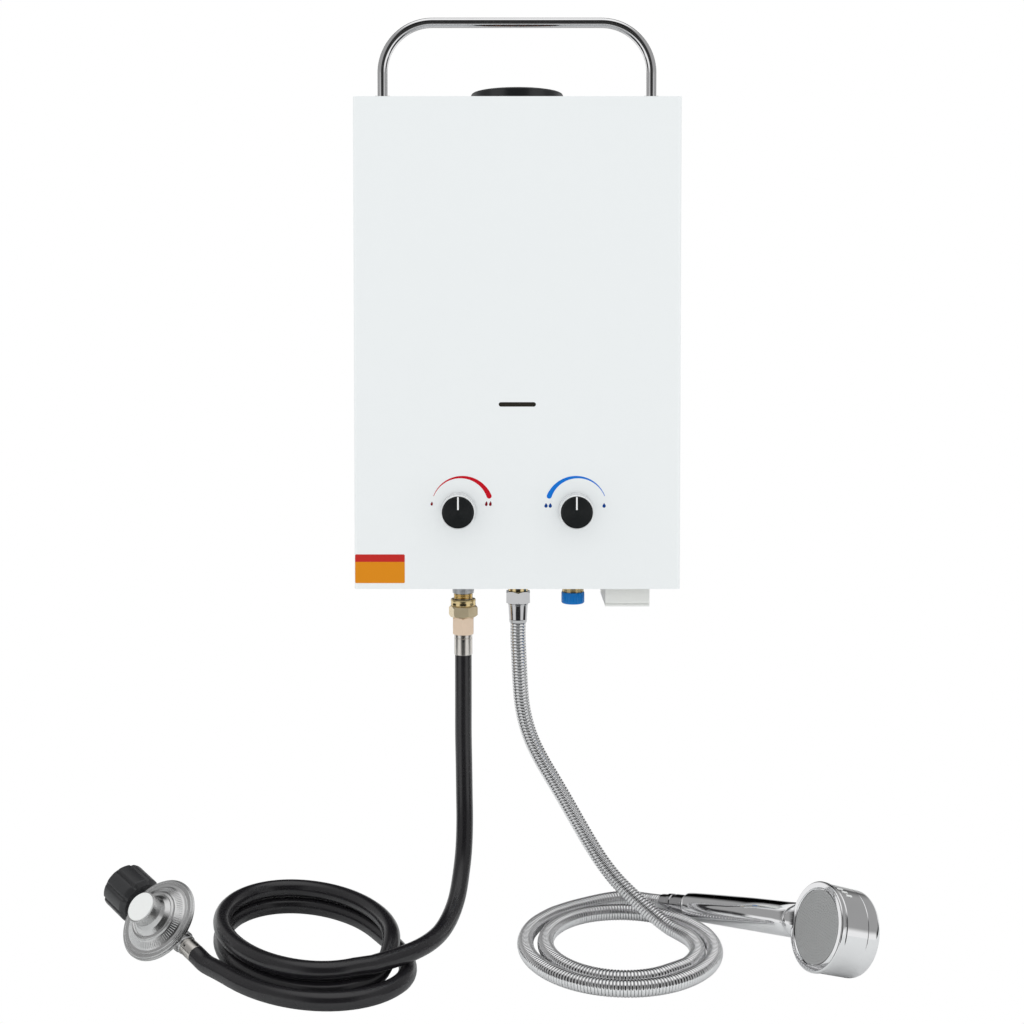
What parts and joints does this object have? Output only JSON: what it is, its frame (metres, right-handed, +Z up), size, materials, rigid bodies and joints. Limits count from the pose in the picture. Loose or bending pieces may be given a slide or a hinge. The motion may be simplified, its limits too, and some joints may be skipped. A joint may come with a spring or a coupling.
{
  "type": "portable propane water heater",
  "caption": "Portable propane water heater with a white casing, folding chrome handle, two knobs, gas hose with regulator, shower hose and chrome handset.",
  "frame": {"origin": "centre of the wall hook's hole, on the rear face of the back plate", "axes": "+X right seen from the front, +Y into the wall, +Z up"},
  "size_m": [0.6795, 0.2662, 0.8441],
  "materials": {
    "galvanised": "plain zinc-coated sheet",
    "white_enamel": "smooth satin white",
    "zinc_screw": "bright zinc",
    "mica": "clear amber sheet",
    "black_enamel": "satin black",
    "chrome_tube": "polished",
    "bracket_steel": "satin",
    "pin_steel": "satin",
    "knob_plastic": "dark charcoal",
    "knob_chrome": "polished",
    "pointer_white": "plain white",
    "brass_part": "machined",
    "copper": "copper sheet, dull",
    "aluminised": "dull",
    "burner_steel": "bare",
    "die_cast": "die-cast",
    "black_plastic": "moulded",
    "rod_steel": "ground",
    "ceramic": "glazed white",
    "blue_plastic": "moulded blue",
    "clear_plastic": "translucent white",
    "cell_jacket": "plain jacket",
    "pink_brass": "cast",
    "nickel": "nickel plated",
    "black_rubber": "smooth black",
    "regulator_grey": "die-cast",
    "cap_white": "plain white",
    "hose_chrome": "polished",
    "hose_steel": "ribbed bright steel",
    "handset_chrome": "mirror",
    "spray_grey": "grey with fine nozzles"
  },
  "bodies": {
    "casing": {"back_plate": "galvanised", "bottom_plate": "galvanised", "front_cover": "white_enamel", "panel_screws": "zinc_screw", "window_mica": "mica", "flue_collar": "black_enamel", "flue_guard": "black_enamel", "handle_brackets": "bracket_steel", "handle_pins": "pin_steel", "combustion_chamber": "copper", "heat_fins": "copper", "heat_tubes": "copper", "exhaust_hood": "aluminised", "burner_blades": "burner_steel", "gas_manifold": "brass_part", "gas_valve": "die_cast", "gas_solenoid": "black_plastic", "water_valve": "die_cast", "diaphragm_cover": "die_cast", "micro_switch": "black_plastic", "igniter": "black_plastic", "electrodes": "ceramic", "cold_pipe": "copper", "hot_pipe": "copper", "gas_inlet": "die_cast", "hot_outlet": "brass_part", "cold_inlet": "brass_part", "battery_case": "clear_plastic", "batteries": "cell_jacket", "gas_fitting": "pink_brass", "gas_ferrule": "nickel", "gas_hose": "black_rubber", "gas_hose_coil": "black_rubber", "regulator_ferrule": "nickel", "regulator_body": "regulator_grey", "regulator_bonnet": "regulator_grey", "regulator_cap": "cap_white", "tank_nipple": "brass_part", "hose_ferrule": "hose_chrome", "shower_hose": "hose_steel", "shower_hose_coil": "hose_steel", "handset_handle": "handset_chrome", "handset_head": "handset_chrome", "spray_plate": "spray_grey"},
    "gas_knob": {"gas_knob": "knob_plastic", "gas_knob_ring": "knob_chrome", "gas_knob_pointer": "pointer_white", "gas_spindle": "brass_part"},
    "water_knob": {"water_knob": "knob_plastic", "water_knob_ring": "knob_chrome", "water_knob_pointer": "pointer_white", "water_spindle": "brass_part"},
    "handle": {"handle": "chrome_tube"},
    "battery_lid": {"battery_lid": "clear_plastic"},
    "inlet_cap": {"inlet_cap": "blue_plastic"},
    "push_rod": {"push_rod": "rod_steel"},
    "gas_union": {"gas_union": "brass_part"},
    "hose_nut": {"hose_nut": "hose_chrome"},
    "tank_nut": {"tank_nut": "black_plastic"},
    "hose_cone": {"hose_cone": "hose_chrome"}
  },
  "joints": [
    {"name": "gas_knob_turn", "type": "hinge", "parent": "casing", "child": "gas_knob", "pos_m": [-0.052, -0.13, -0.3413], "axis": [0, 1, 0], "range_deg": [-70, 70]},
    {"name": "water_knob_turn", "type": "hinge", "parent": "casing", "child": "water_knob", "pos_m": [0.052, -0.13, -0.3413], "axis": [0, 1, 0], "range_deg": [-70, 70]},
    {"name": "handle_fold", "type": "hinge", "parent": "casing", "child": "handle", "pos_m": [0, -0.033, 0.0332], "axis": [1, 0, 0], "range_deg": [0, 88]},
    {"name": "battery_lid_open", "type": "hinge", "parent": "casing", "child": "battery_lid", "pos_m": [0.1, -0.0225, -0.431], "axis": [1, 0, 0], "range_deg": [0, 100]},
    {"name": "inlet_cap_off", "type": "slide", "parent": "casing", "child": "inlet_cap", "axis": [0, 0, -1], "range_m": [0, 0.02]},
    {"name": "push_rod_travel", "type": "slide", "parent": "casing", "child": "push_rod", "axis": [-1, 0, 0], "range_m": [0, 0.004]},
    {"name": "gas_union_turn", "type": "hinge", "parent": "casing", "child": "gas_union", "pos_m": [-0.05, -0.065, -0.44], "axis": [0, 0, 1], "continuous": true},
    {"name": "hose_nut_turn", "type": "hinge", "parent": "casing", "child": "hose_nut", "pos_m": [0.001, -0.065, -0.43], "axis": [0, 0, 1], "continuous": true},
    {"name": "tank_nut_turn", "type": "hinge", "parent": "casing", "child": "tank_nut", "pos_m": [-0.33948, -0.1116, -0.70031], "axis": [0.6786, -0.6997, -0.2233], "continuous": true},
    {"name": "hose_cone_turn", "type": "hinge", "parent": "casing", "child": "hose_cone", "pos_m": [0.1378, -0.0558, -0.7212], "axis": [0.6913, -0.7022, 0.1704], "continuous": true}
  ]
}
